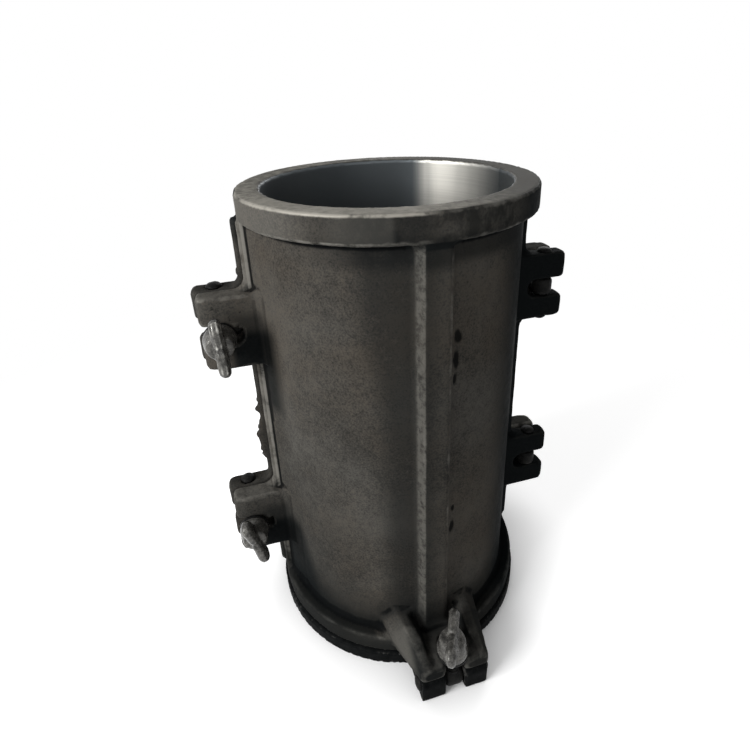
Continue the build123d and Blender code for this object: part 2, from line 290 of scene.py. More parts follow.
castSettings = {
    "bore": 75 * mm, "wall": 82 * mm, "collar": 90 * mm, "flange": 91 * mm, "collarFoot": 294 * mm, "rim": 310 * mm,
    "lugLevels": (80.25 * mm, 229.55 * mm),
    "dark": (0.027, 0.026, 0.0238), "pale": (0.078, 0.0745, 0.067), "warm": (0.068, 0.056, 0.043),
    # the dark of oil stains and of painted shade, and the near-black of grime and painted shade in hollows
    "oilAndShade": (0.0068, 0.0080, 0.0084), "sootAndShade": (0.0035, 0.0040, 0.0043),
    # the pale of worn metal and of painted highlights, and the bright of the rim's painted highlights and worn edge
    "wearAndHighlight": (0.20, 0.192, 0.172), "bright": (0.38, 0.36, 0.315),
    # the bore's oiled colour and the colour of its painted reflection band
    "boreOiled": (0.072, 0.080, 0.085), "boreReflection": (0.56, 0.545, 0.50),
    "rimDark": (0.09, 0.086, 0.076), "rimPale": (0.27, 0.258, 0.225), "rimShade": (0.054, 0.0515, 0.0455),
    "specular": 0.004, "bumpStrength": 0.35, "bumpDepth": 0.5 * mm,
    # scale, detail, roughness, seed and, where it isn't even, the stretch of each grain
    "grains": {
        "patches": (17, 5, 0.6, 0), "broad": (7, 3, 0.5, 2), "mottle": (210, 4, 0.7, 5), "fine": (900, 3, 0.65, 7),
        "broken": (60, 4, 0.7, 23), "rust": (14, 4, 0.55, 11), "pits": (330, 3, 0.6, 29),
        "stain": (26, 5, 0.65, 19, (1, 1, 0.7)), "turning": (300, 2, 0.5, 13, (0.02, 0.02, 5)),
        "haze": (20, 4, 0.6, 17, (1, 1, 0.4)), "streaks": (90, 3, 0.6, 31, (1, 1, 0.05)),
    },
    # the grain values between which a mask comes up
    "ranges": {
        "upward": (0.5, 0.95), "tone": (0.38, 0.62), "rust": (0.44, 0.64), "pits": (0.62, 0.70),
        "beside": (0.28, 0.50), "corner": (0.3, 0.6), "splash": (0.43, 0.53), "sootAndShade": (0.16, 0.7), "wear": (0.6, 1.25),
        "rub": (0.34, 0.62), "strip": (0.30, 0.60), "ridge": (0.26, 0.50), "flank": (0.3, 0.6), "tops": (0.30, 0.60),
        "lip": (0.3, 0.55), "turning": (0.4, 0.7), "rimTone": (0.36, 0.64),
    },
    # where a mask comes up, in millimetres; with a third number it goes down again, and that is its softness
    "masks": {
        "bore": (0.3, 0.8), "outside": (3, 5), "rim": (-0.35, -0.1), "lugs": (91.5, 94), "hinge": (82.5, 86),
        "ribFoot": (82.4, 83.5), "ribTop": (88, 89), "rings": (86, 88), "high": (190, 270), "near": (8.5, 9.5),
        "beside": (-20, -12, 17), "besideFront": (66, 76), "besideFoot": (4, 24),
        "foot": (22, 68), "footOut": (88, 108), "bare": (-38, -20, 3), "bareRoot": (83, 87), "bareFoot": (20, 25),
        "cornerTop": (70, 150), "cornerSide": (-66, -38), "splashFoot": (-2, 1), "splashSide": (-74, -30),
        "ledge": (-9, -0.5, 8), "ledgeSide": (-72, -30), "line": (-2.6, 0.2, 1.2), "lineSide": (-82, -62),
        "lee": (36, 62), "behind": (-90, -83), "face": (-6.5, 6.5, 0.8), "pocket": (-21, 16, 4), "pocketTop": (33, 41),
        "shade": (14, 19), "shadeTop": (50, 62), "shadeFront": (60, 70),
        "seats": (-27, -4, 7), "seatsAcross": (-100, -87, 6), "seatsFront": (7, 11),
        "seam": (-52, -6, 14), "seamSide": (-83, -76), "seamOut": (85.4, 86.6), "lean": (20, 120),
        "nook": (-20, 9, 10), "nookAcross": (-95, -82, 14), "nookFront": (6, 12), "nookRoot": (83, 87),
        "rub": (0.4, 1.8, 0.9), "rubAndHighlightAcross": (-72, -38, 14), "lip": (-2.0, -0.9), "lipAcross": (-80, -12, 14),
        "strip": (-92, -87.2, 0.6), "ridge": (-88.6, -87.4, 0.5), "flank": (-11.5, -7.2, 0.8),
        "clean": (-1, 16, 1), "collarHighlightSide": (-76, -52),
        "cheek": (-24, -20), "cheekOut": (83, 97), "cheekFront": (70, 80), "cheekFoot": (20, 28),
        "reflectionBand": (37, 55), "reflectionBandFront": (-8, 48), "rimShade": (0, 66), "rimBright": (30, 70),
        "rimBrightSide": (-20, 30),
    },
    # how far the edges of some masks wander or lean
    "wander": {"beside": 10 * mm, "foot": 44 * mm, "lean": 9 * mm, "seam": 5 * mm, "nook": 10 * mm,
               "nookAcross": 8 * mm, "reflectionBand": 6 * mm},
    "cheekSlope": 2, "cheekBase": 88 * mm,
    # how strongly each mask darkens with oil and painted shade, and how strongly each lightens with wear and painted
    # highlights
    "oilAndShadeAmounts": {"beside": 0.60, "hinge": 0.92, "behind": 0.0, "foot": 0.82, "splash": 0.72, "ledge": 0.65,
                   "line": 0.85, "lee": 0.95, "corner": 0.34, "face": 0.25, "seats": 0.94, "pocket": 0.74,
                   "shade": 0.75, "seam": 0.84, "nook": 0.60, "pits": 0.6},
    "rearOilAndShadeAmounts": {"hinge": 0.1, "behind": 0.85, "lee": 0.35},
    "wearAndHighlightAmounts": {"wear": 0.38, "rub": 0.7, "strip": 0.40, "ridge": 0.55, "flank": 0.28, "clean": 0.22,
                    "tops": 0.30, "cheek": 0.26},
    "amounts": {"rust": 0.55, "sootAndShade": 0.9, "lip": 0.75, "turning": 0.10, "rimShade": 0.95, "rimBright": 0.35,
                "footOut": 0.7, "bare": 0.8, "hingeUnworn": 0.85, "footUnworn": 0.8},
    # the least darkening of the collar's right: painted shade where the stain is thin
    "collarShadeLeast": 0.3, "streakLow": 0.85, "streakHigh": 1.15,
    "wornMetal": 0.3, "boreMetal": 0.9, "rimMetal": 0.02,
    "gloss": 0.55, "wornGloss": 0.12, "boreGloss": 0.46, "rimGloss": 0.5,
}


def castFinish(name, side, seed):  # side: 1 on the front casting, -1 on the rear one
    s = castSettings
    wander, amounts = s["wander"], s["amounts"]
    material, m = newFinish(name)

    def grain(key):
        scale, detail, rough, shift, *stretch = s["grains"][key]
        return m.grain(scale, detail, rough, seed + shift, *stretch)

    def over(value, key):
        return m.step(value, *s["ranges"][key])

    def rise(value, key, start=0):
        low, high = s["masks"][key]
        return m.step(value, start + low * mm, start + high * mm)

    def band(value, key, start=0):
        low, high, soft = s["masks"][key]
        return m.between(value, start + low * mm, start + high * mm, soft * mm)

    def atLugs(value, key):
        return sum(band(value, key, level) for level in s["lugLevels"])

    where = m.add("ShaderNodeSeparateXYZ", None, {0: m.add("ShaderNodeTexCoord").out("Object")})
    x, y, z = side * where.out("X"), -side * where.out("Y"), where.out("Z")
    radius = (x * x + y * y) ** 0.5
    bore = 1 - rise(radius, "bore", s["bore"])
    rim = rise(z, "rim", s["rim"])
    turned = m.sum("MAXIMUM", bore, rim)
    outside = rise(radius, "outside", s["bore"])
    lugs = rise(radius, "lugs")
    upward = over(m.attribute("upward"), "upward")
    ribs = rise(radius, "ribFoot") * (1 - rise(radius, "ribTop"))
    rings = rise(radius, "rings")

    patches, broad, mottle, fine, broken = (grain(key) for key in ("patches", "broad", "mottle", "fine", "broken"))
    colour = m.mix(over(0.33 * patches + 0.17 * broad + 0.17 * mottle + 0.33 * fine, "tone"), s["dark"], s["pale"])
    rust = over(0.4 * grain("rust") + 0.17 * mottle + 0.43 * fine, "rust")
    colour = m.mix(amounts["rust"] * rust, colour, s["warm"])
    pits = over(grain("pits"), "pits") * lugs

    # oil beside the rib and a stain on the collar, with painted shade on the right, toward the bottom, under the
    # collar, round the lugs and in the base lug
    # oil and painted shade in a band left of the rib
    low, high, soft = (number * mm for number in s["masks"]["beside"])
    beside = m.between(x, low - wander["beside"] * rise(z, "high"), high, soft) * rise(y, "besideFront")
    beside = beside * rise(z, "besideFoot") * over(0.6 * patches + 0.4 * mottle, "beside")
    # painted shade and oil on the front casting's right-hand hinge lugs
    hinge = rise(x, "hinge")
    # painted shade toward the bottom, less on the lugs and on the base lug's left cheek
    foot = 1 - rise(z + wander["foot"] * (patches - 0.5), "foot")
    foot = foot * (1 - amounts["footOut"] * rise(radius, "footOut"))
    foot = foot * (1 - amounts["bare"] * band(x, "bare") * rise(radius, "bareRoot") * rise(z, "bareFoot"))
    # darker in patches at the lower left of the wall
    corner = (1 - rise(z, "cornerTop")) * (1 - rise(x, "cornerSide")) * over(patches, "corner")
    # an oil stain on the collar's right, over painted shade there
    splash = m.blend(over(grain("stain"), "splash"), s["collarShadeLeast"], 1.0)
    splash = splash * rise(z, "splashFoot", s["collarFoot"]) * rise(x, "splashSide")
    # painted shadow under the collar and a painted shadow line at its lower edge
    ledge = band(z, "ledge", s["collarFoot"]) * rise(x, "ledgeSide")
    line = band(z, "line", s["collarFoot"]) * rise(x, "lineSide")
    # painted shade in the base lug's pocket and on its right cheek
    pocket = band(x, "pocket") * lugs * (1 - rise(z, "pocketTop"))
    shade = rise(x, "shade") * lugs * (1 - rise(z, "shadeTop")) * rise(y, "shadeFront")
    # painted shadows of the nuts on the lower prongs of the left lugs
    seats = atLugs(z, "seats") * band(x, "seatsAcross") * rise(y, "seatsFront")
    # oil and painted shade below each left lug, along the seam
    lean = wander["lean"] * (1 - rise(z, "lean")) + wander["seam"] * (patches - 0.5)
    seam = atLugs(z, "seam") * (1 - rise(x - lean, "seamSide")) * (1 - rise(radius, "seamOut"))
    # darker round the roots of the left lugs
    nook = atLugs(z + wander["nook"] * (patches - 0.5), "nook") * rise(y, "nookFront") * rise(radius, "nookRoot")
    nook = nook * band(x + wander["nookAcross"] * (patches - 0.5), "nookAcross")
    # lee: painted shade over the right side; behind: painted shade on the rear casting's slot lugs, on the right;
    # face: the rib's face a little darker
    oiledAndShaded = {"beside": beside, "hinge": hinge, "behind": 1 - rise(x, "behind"), "foot": foot, "splash": splash,
             "ledge": ledge, "line": line, "lee": rise(x, "lee"), "corner": corner, "face": band(x, "face") * ribs,
             "seats": seats, "pocket": pocket, "shade": shade, "seam": seam, "nook": nook, "pits": pits}
    oilAndShadeAmounts = s["oilAndShadeAmounts"] if side > 0 else {**s["oilAndShadeAmounts"], **s["rearOilAndShadeAmounts"]}
    speckle = 1 + 0.5 * (fine - 0.5) + 0.4 * (mottle - 0.5)
    for key, amount in oilAndShadeAmounts.items():
        colour = m.mix(amount * oiledAndShaded[key] * outside * speckle, colour, s["oilAndShade"])
    # grime and painted shade in hollows and corners
    sootAndShade = over(m.attribute("grimeAndShade") + 0.3 * (mottle - 0.5), "sootAndShade")
    colour = m.mix(sootAndShade * amounts["sootAndShade"], colour, s["sootAndShade"])

    # metal worn pale on the edges, partly standing for painted glints; wear and painted highlights on the collar's
    # lower edge; painted highlights on the collar's left, along the left seam strip, on the rib's left flank, on the
    # lug tops and on the base lug's left cheek
    wear = over(m.attribute("edgeWearAndGlint") + 1.5 * (broken - 0.5) + 0.5 * (mottle - 0.5), "wear")
    wear = wear * (1 - amounts["hingeUnworn"] * hinge)
    # wear and a painted highlight on the collar's lower edge at the left
    rub = band(z, "rub", s["collarFoot"]) * band(x, "rubAndHighlightAcross") * rings * over(0.6 * mottle + 0.4 * broken, "rub")
    # wear and a painted highlight on the rim's outer edge at the front left
    lip = rise(z, "lip", s["rim"]) * band(x, "lipAcross") * rings
    near = 1 - rise(y, "near")
    # painted highlight on the collar's left side
    clean = band(z, "clean", s["collarFoot"]) * (1 - rise(x, "collarHighlightSide")) * rings
    # painted light on the base lug's left cheek
    cheek = (1 - rise(x, "cheek")) * rise(radius, "cheekOut") * rise(y, "cheekFront")
    cheek = cheek * rise(z + s["cheekSlope"] * (radius - s["cheekBase"]), "cheekFoot")
    # strip and ridge: painted highlights on the left seam flange; flank: painted highlight on the rib's left flank;
    # tops: painted light on the lug tops
    wearAndHighlight = {"wear": wear, "rub": rub, "strip": band(x, "strip") * near * over(broken, "strip"),
            "ridge": band(x, "ridge") * near * over(broken, "ridge"),
            "flank": band(x, "flank") * ribs * over(mottle, "flank"), "clean": clean,
            "tops": upward * lugs * (1 - hinge) * over(0.6 * mottle + 0.4 * broken, "tops"), "cheek": cheek}
    for key, amount in s["wearAndHighlightAmounts"].items():
        colour = m.mix(amount * wearAndHighlight[key] * outside * (1 - amounts["footUnworn"] * foot), colour, s["wearAndHighlight"])
    colour = m.mix(amounts["lip"] * lip * over(broken, "lip"), colour, s["bright"])

    # the turned bore and rim, with a painted reflection band in the bore, painted shade on the rim's right and a
    # painted highlight on its front
    turning, haze, streaks = (grain(key) for key in ("turning", "haze", "streaks"))
    # a painted reflection band on one side of each bore
    reflectionBand = rise(-1 * x + wander["reflectionBand"] * (streaks - 0.5), "reflectionBand") * rise(abs(y), "reflectionBandFront")
    reflectionBand = reflectionBand * m.blend(streaks, s["streakLow"], s["streakHigh"])
    boreTone = m.mix(reflectionBand, s["boreOiled"], s["boreReflection"])
    boreTone = m.mix(amounts["turning"] * over(turning, "turning"), boreTone, s["boreOiled"])
    rimTone = m.mix(over(0.5 * haze + 0.5 * mottle, "rimTone"), s["rimDark"], s["rimPale"])
    # painted shade on the rim's right and a painted highlight on its front
    rimTone = m.mix(amounts["rimShade"] * rise(side * x, "rimShade"), rimTone, s["rimShade"])
    rimBright = rise(side * y, "rimBright") * (1 - rise(side * x, "rimBrightSide"))
    rimTone = m.mix(amounts["rimBright"] * rimBright, rimTone, s["bright"])
    colour = m.mix(turned, colour, m.mix(rim, boreTone, rimTone))

    metal = m.blend(turned, s["wornMetal"] * wear, m.blend(rim, s["boreMetal"], s["rimMetal"]))
    castGloss = s["gloss"] - s["wornGloss"] * wear + 0.3 * (mottle - 0.5)
    turnedGloss = m.blend(rim, s["boreGloss"], s["rimGloss"]) + 0.2 * (haze - 0.5)
    gloss = m.blend(turned, castGloss, turnedGloss)
    height = m.blend(turned, 0.6 * mottle + 0.4 * fine - 0.8 * pits, 0.12 * turning + 0.08 * fine)
    bump = m.add("ShaderNodeBump", None, {"Strength": s["bumpStrength"], "Distance": s["bumpDepth"], "Height": height})
    closeFinish(m, {"Specular IOR Level": s["specular"]},
                {"Base Color": colour, "Metallic": metal, "Roughness": gloss, "Normal": bump})
    return material


# what the plain finishes share: scale, detail, roughness and seed of each grain, ranges and amounts
steelSettings = {
    "mottle": (260, 4, 0.65, 0), "fine": (1500, 3, 0.6, 2), "broken": (110, 3, 0.65, 4),
    "tone": (0.35, 0.68), "sootAndShadeRange": (0.2, 0.8), "wearSpan": 0.5, "sootAndShadeAmount": 0.85, "wearAmount": 0.75,
    "bumpStrength": 0.3, "bumpDepth": 0.3 * mm,
}


def steelFinish(name, seed, s):
    c = steelSettings
    material, m = newFinish(name)
    mottle, fine, broken = (m.grain(*c[key][:3], seed + c[key][3]) for key in ("mottle", "fine", "broken"))
    # edge wear, which on the nuts also stands for painted glints
    wear = m.attribute("edgeWearAndGlint") + 1.2 * (broken - 0.5) + 0.4 * (mottle - 0.5)
    wear = m.step(wear, s["wearFrom"], s["wearFrom"] + c["wearSpan"])
    # grime and painted shade in hollows
    sootAndShade = m.step(m.attribute("grimeAndShade") + 0.4 * (mottle - 0.5), *c["sootAndShadeRange"])
    relief = 0.6 * mottle + 0.4 * fine
    colour = m.mix(m.step(relief, *c["tone"]), s["dark"], s["pale"])
    colour = m.mix(sootAndShade * c["sootAndShadeAmount"], colour, s["sootAndShade"])
    colour = m.mix(wear * c["wearAmount"], colour, s["wearAndHighlight"])
    bump = m.add("ShaderNodeBump", None, {"Strength": c["bumpStrength"], "Distance": c["bumpDepth"], "Height": relief})
    closeFinish(m, {"Specular IOR Level": s["specular"]},
                {"Base Color": colour, "Metallic": s["metal"] + 0.4 * wear,
                 "Roughness": s["gloss"] - 0.15 * wear + 0.25 * (mottle - 0.5), "Normal": bump})
    return material


frontFinish = castFinish("castIronFront", 1, 0.0)
rearFinish = castFinish("castIronRear", -1, 4.0)
print("casting finishes made")


shellSettings = {
    "voxel": 1.58 * mm, "relax": 2, "settles": 2, "close": 0.14 * mm, "far": 0.5 * mm, "settled": 0.3,
    "upright": 0.985, "roundWithin": 0.35 * mm, "edgeWithin": 1.6 * mm, "seam": 0.05 * mm,
    "turnedWithin": 0.5 * mm, "rimWithin": 0.4 * mm, "footWithin": 10.4 * mm, "bend": 0.17 * mm, "bendRounds": 2,
    "rough": 0.24 * mm, "wallRough": 0.07 * mm, "coarse": 10 * mm, "small": 4.5 * mm, "bumpMiddle": 0.4,
    # flash left along the rear casting's seam edge, in millimetres: height, size and how far it stands out
    "flashEdge": 94, "flashMiddle": 2.5, "flashSeed": 7, "flashWobble": 0.5, "flashGrain": 400, "flashGap": 0.3 * mm,
    "flash": ((125, 2.4, 0.4), (131, 3.2, 1.0), (137, 2.8, 0.8), (143, 3.4, 1.2), (149, 2.6, 0.6), (153, 1.8, 0.2),
              (164, 2.2, 0.8), (171, 1.5, 0.2), (262, 1.6, 0.2)),
    # sand holes along the right of each rib, in millimetres: height, length, place across and width
    "holes": ((240, 8, 13.6, 2.4), (226, 12, 12.7, 1.7), (214, 7, 12.5, 1.5), (121, 5, 12.5, 1.4),
              (106, 10, 12.7, 1.7)),
    "holeDepth": 0.6 * mm, "holeStray": 1.3, "strayOver": 5 * mm, "holesOutside": 80 * mm, "holesFront": 60 * mm,
    # the groove between each seam flange and the wall, and painted shade in it below the lugs
    "crease": 86.5 * mm, "creaseLeft": 8 * mm, "creaseRight": 11 * mm, "creaseWidth": 1.5 * mm,
    "creaseFoot": 25 * mm, "creaseTop": 292 * mm, "grooveDepth": 0.55 * mm, "grooveReach": 1.3,
    "creaseShadeFrom": 20 * mm, "creaseShadeTo": 70 * mm, "creaseShadeReach": 1.4, "creaseShadeSpread": 2.2, "grimeAndShadeGain": 1.2,
    # burrs in the roofs of the slots: how far they hang down, the roofs' height and the burrs' ends
    "burr": 1.7 * mm, "burrRoof": 5.35 * mm, "burrWithin": 2 * mm, "burrFrom": 92 * mm, "burrTo": 103 * mm,
    "facingDown": -0.5,
    "ribSide": 14 * mm, "ribRoot": 81 * mm, "ribTop": 89 * mm, "ribGrimeAndShade": 0.15,
}


def flashBead(work, where, size, side):
    s = shellSettings
    made = bmesh.ops.create_icosphere(work, subdivisions=2, radius=size, matrix=Matrix.Translation(where))
    for vert in made["verts"]:
        vert.co += s["flashWobble"] * size * noise.noise_vector(vert.co * s["flashGrain"])
        vert.co.y = side * max(side * vert.co.y, s["flashGap"])


def castShell(node, name, side, finish, seed):  # side: -1 for the front, 1 for the rear
    s, c = shellSettings, castSettings
    work = cadCopy(node)
    if side > 0:
        noise.seed_set(s["flashSeed"])  # or noise_vector changes from run to run
        for level, size, out in s["flash"]:
            flashBead(work, Vector((-(s["flashEdge"] + out), s["flashMiddle"], level)) * mm, size * mm, side)
    skin = reskin(work, name, s["voxel"])
    for _ in range(s["settles"]):
        skin.relax(s["relax"])
        facing, share = skin.settle(s["close"], s["far"])

    # true rounds instead of the solid's facets
    flat = np.hypot(skin.place[:, 0], skin.place[:, 1])
    outward = skin.place[:, :2] / flat[:, None]
    upright = np.abs((facing[:, :2] * outward).sum(1)) > s["upright"]
    plain = np.zeros(skin.count, dtype=bool)
    for radius in (c["bore"], c["wall"], c["collar"], c["flange"]):
        on = upright & (np.abs(flat - radius) < s["roundWithin"]) & (share > s["settled"])
        skin.place[on, :2] = radius * outward[on]
        plain |= on & (radius <= c["wall"])

    # sharp edges where the two castings meet
    inner, top = flat < c["bore"] + s["edgeWithin"], skin.place[:, 2] > c["rim"] - s["edgeWithin"]
    edge = (np.abs(skin.place[:, 1]) < s["edgeWithin"]) & (inner | top)
    skin.place[edge & inner, :2] = outward[edge & inner] * c["bore"]
    skin.place[edge & top, 2] = c["rim"]
    skin.place[edge, 1] = side * s["seam"]

    # cast roughness, but not on turned faces
    across, level = -side * skin.place[:, 0], skin.place[:, 2].copy()
    turned = np.abs(flat - c["bore"]) < s["turnedWithin"]
    turned |= (np.abs(level - c["rim"]) < s["rimWithin"]) | (level < s["footWithin"])
    turned |= (np.abs(skin.place[:, 1]) < s["turnedWithin"])
    skin.markBends(s["bend"], s["bendRounds"])
    # how much each point faces up, for the painted light on lug tops
    skin.attribute("upward", np.clip(skin.normals()[:, 2], 0, 1))
    rough = np.where(plain, s["wallRough"], s["rough"])
    rough[turned] = 0
    for _ in range(2):
        rough = np.minimum(rough, skin.mean(rough))
    bumps = 0.6 * unevenness(skin.place, s["coarse"], seed) + 0.4 * unevenness(skin.place, s["small"], seed + 40)
    skin.swell(rough * (bumps - s["bumpMiddle"]))

    # sand holes, fewer on the rear casting
    bites = np.zeros(skin.count)
    stray = across / mm + s["holeStray"] * unevenness(skin.place, s["strayOver"], seed + 60)
    for height, length, middle, width in s["holes"] if side < 0 else s["holes"][2::2]:
        near = ((stray - middle) / width) ** 2 + ((level / mm - height) / (length / 2)) ** 2
        onWall = (flat > s["holesOutside"]) * (side * skin.place[:, 1] > s["holesFront"])
        bites = np.maximum(bites, np.exp(-near) * onWall)
    skin.swell(-s["holeDepth"] * bites)

    # grooves beside the seam flanges
    root = np.where(across < 0, s["creaseLeft"], s["creaseRight"])
    crease = np.hypot(np.abs(across) - s["crease"], np.abs(skin.place[:, 1]) - root) / s["creaseWidth"]
    between = (level > s["creaseFoot"]) & (level < s["creaseTop"])
    groove = np.clip(s["grooveReach"] - crease, 0, 1) * between
    skin.swell(-s["grooveDepth"] * groove)
    # painted shade in the groove below each left lug
    below = sum(np.clip((lug - level) / s["creaseShadeFrom"], 0, 1) * (level > lug - s["creaseShadeTo"]) for lug in c["lugLevels"])
    wide = np.clip(s["creaseShadeReach"] - crease / s["creaseShadeSpread"], 0, 1)
    groove = np.maximum(groove, wide * below * between * (across < 0))

    # burrs left in the roofs of the slots
    for lug in c["lugLevels"]:
        burr = (facing[:, 2] < s["facingDown"]) & (np.abs(level - lug - s["burrRoof"]) < s["burrWithin"])
        skin.swell(s["burr"] * burr * (across < -s["burrFrom"]) * (across > -s["burrTo"]))

    # grime and painted shade in hollows, sand holes and grooves, less on the rib
    grimeAndShade = np.empty(skin.count, dtype=np.float32)
    skin.mesh.attributes["grimeAndShade"].data.foreach_get("value", grimeAndShade)
    rib = (np.abs(across) < s["ribSide"]) & (flat > s["ribRoot"]) & (flat < s["ribTop"])
    grimeAndShade = grimeAndShade * np.where(rib, s["ribGrimeAndShade"], 1.0)
    skin.attribute("grimeAndShade", np.maximum(grimeAndShade, s["grimeAndShadeGain"] * np.maximum(bites, groove)))
    skin.place[:, 1] = side * np.maximum(side * skin.place[:, 1], s["seam"])
    skin.keepWithin(node)
    skin.finish(finish)
    standFor(skin.piece, node)
    print(name, skin.count, "points")


castShell("front_half_shell", "frontHalfCasting", -1, frontFinish, 3.0)
castShell("rear_half_shell", "rearHalfCasting", 1, rearFinish, 17.0)


plateSettings = {
    "voxel": 1.3 * mm, "relax": 2, "close": 0.14 * mm, "far": 0.45 * mm, "settled": 0.3, "rough": 0.2 * mm,
    "roughOver": 9 * mm, "seed": 71.0, "edge": 92.5 * mm, "edgeWithin": 0.35 * mm, "upright": 0.1,
    "top": 10 * mm, "flatWithin": 0.4 * mm, "seat": 91 * mm, "bend": 0.18 * mm, "bendRounds": 1,
    "dark": (0.0024, 0.0028, 0.003), "pale": (0.0085, 0.009, 0.0092), "sootAndShade": (0.0016, 0.0017, 0.0018),
    "wearAndHighlight": (0.12, 0.117, 0.11), "metal": 0.0, "gloss": 0.5, "wearFrom": 0.9, "specular": 0.01,
}
plateFinish = steelFinish("castIronPlate", 9.0, plateSettings)


def castPlate():
    s = plateSettings
    skin = reskin(cadCopy("base_plate"), "basePlateCasting", s["voxel"])
    skin.relax(s["relax"])
    facing, share = skin.settle(s["close"], s["far"])
    flat = np.hypot(skin.place[:, 0], skin.place[:, 1])
    on = (np.abs(flat - s["edge"]) < s["edgeWithin"]) & (np.abs(facing[:, 2]) < s["upright"]) & (share > s["settled"])
    skin.place[on, :2] *= (s["edge"] / flat[on])[:, None]
    still = (np.abs(skin.place[:, 2] - s["top"]) < s["flatWithin"]) & (flat < s["seat"])
    still |= skin.place[:, 2] < s["flatWithin"]
    skin.markBends(s["bend"], s["bendRounds"])
    skin.swell(s["rough"] * (unevenness(skin.place, s["roughOver"], s["seed"]) - 0.4) * ~still)
    skin.keepWithin("base_plate")
    skin.finish(plateFinish)
    standFor(skin.piece, "base_plate")
    print("base plate", skin.count, "points")


castPlate()


def clampWay(clamp):  # from the eye to the nut
    return Vector({"left": (0, -1, 0), "right": (0, 1, 0), "base": (0, 0, 1)}[clamp.split("_")[1]])


nutSettings = {
    "voxel": 0.55 * mm, "relax": 4, "seat": 1 * mm, "hubTop": 12 * mm, "hubFrom": 1 * mm, "hubRelax": 16,
    "bore": 5.05 * mm,
    "cap": 6.5 * mm, "capDepth": 0.6 * mm, "capSides": 32, "crown": 3 * mm, "crownWear": 0.3, "crownGrimeAndShade": 0.2,
    "inside": 0.5 * mm, "rough": 0.16 * mm, "roughOver": 5 * mm, "bend": 0.045 * mm, "bendRounds": 2,
    "dark": (0.028, 0.0275, 0.026), "pale": (0.15, 0.145, 0.133), "sootAndShade": (0.006, 0.006, 0.006),
    # the nuts' worn edges are pale wear and painted glints, scaled per clamp
    "wearAndHighlight": (0.58, 0.57, 0.53), "metal": 0.2, "gloss": 0.25, "wearFrom": 0.4, "specular": 0.22,
    "shine": {"lower_left": 0.45, "front_base": 0.65},
}
nutFinish = steelFinish("castNut", 1.0, nutSettings)


def castNut(clamp, seed):
    s = nutSettings
    node = f"{clamp}_wing_nut"
    way = clampWay(clamp)
    low, high = (np.array(corner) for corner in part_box(f"{clamp}_washer"))
    work = cadCopy(node)
    crest = Matrix.Translation(Vector((low + high) / 2) + way * (s["hubTop"] + s["seat"])) @ along(way)
    bmesh.ops.create_cone(work, cap_ends=True, segments=s["capSides"], radius1=s["cap"], radius2=s["cap"],
                          depth=s["capDepth"], matrix=crest)  # closes the crown
    skin = reskin(work, f"{clamp}_nutCasting", s["voxel"])
    axis = int(np.argmin(high - low))
    reach = np.linalg.norm(np.delete(skin.place - (low + high) / 2, axis, 1), axis=1)
    rise = np.abs(skin.place[:, axis] - (low + high)[axis] / 2) - s["seat"]
    inside = (reach < s["bore"] + s["inside"]) & (rise < s["hubTop"] - s["inside"])
    crown = np.abs(rise - s["hubTop"]) < s["crown"]
    hub = crown & (reach > s["bore"] + s["hubFrom"])
    skin.relax(s["relax"])
    for _ in range(s["hubRelax"]):
        skin.place[hub] += 0.5 * (skin.mean(skin.place) - skin.place)[hub]
    bend = skin.bulge(s["bendRounds"]) / s["bend"]
    # edge wear and painted glints, less on the crown and on some clamps
    shine = np.where(crown, s["crownWear"], 1.0) * s["shine"].get(clamp, 1.0)
    skin.attribute("edgeWearAndGlint", np.clip(bend, 0, 1) * shine)
    # grime and painted shade in corners, less on the crown
    skin.attribute("grimeAndShade", np.clip(-bend, 0, 1) * np.where(crown, s["crownGrimeAndShade"], 1.0))
    skin.swell(s["rough"] * (unevenness(skin.place, s["roughOver"], seed) - 0.5) * ~inside)
    skin.keepWithin(node)
    skin.finish(nutFinish)
    standFor(skin.piece, node)


boltSettings = {
    "voxel": 0.5 * mm, "relax": 3, "eye": 15.5 * mm, "core": 4.0 * mm, "overlap": 0.2 * mm, "tipShort": 1 * mm,
    "bend": 0.04 * mm, "bendRounds": 2, "rough": 0.1 * mm, "roughOver": 6 * mm,
    "radius": 5 * mm, "threadDepth": 0.85 * mm, "pitch": 1.5 * mm, "length": 26 * mm, "sides": 40, "perTurn": 10,
    "chamfer": 1.1 * mm, "ridgeTop": 1.45, "ridgeSlope": 2.6,
    "dark": (0.006, 0.0062, 0.0063), "pale": (0.018, 0.0178, 0.017), "sootAndShade": (0.003, 0.003, 0.003),
    "wearAndHighlight": (0.20, 0.196, 0.188), "metal": 0.05, "gloss": 0.45, "wearFrom": 0.85, "specular": 0.03,
}
boltFinish = steelFinish("oiledSteel", 6.0, boltSettings)


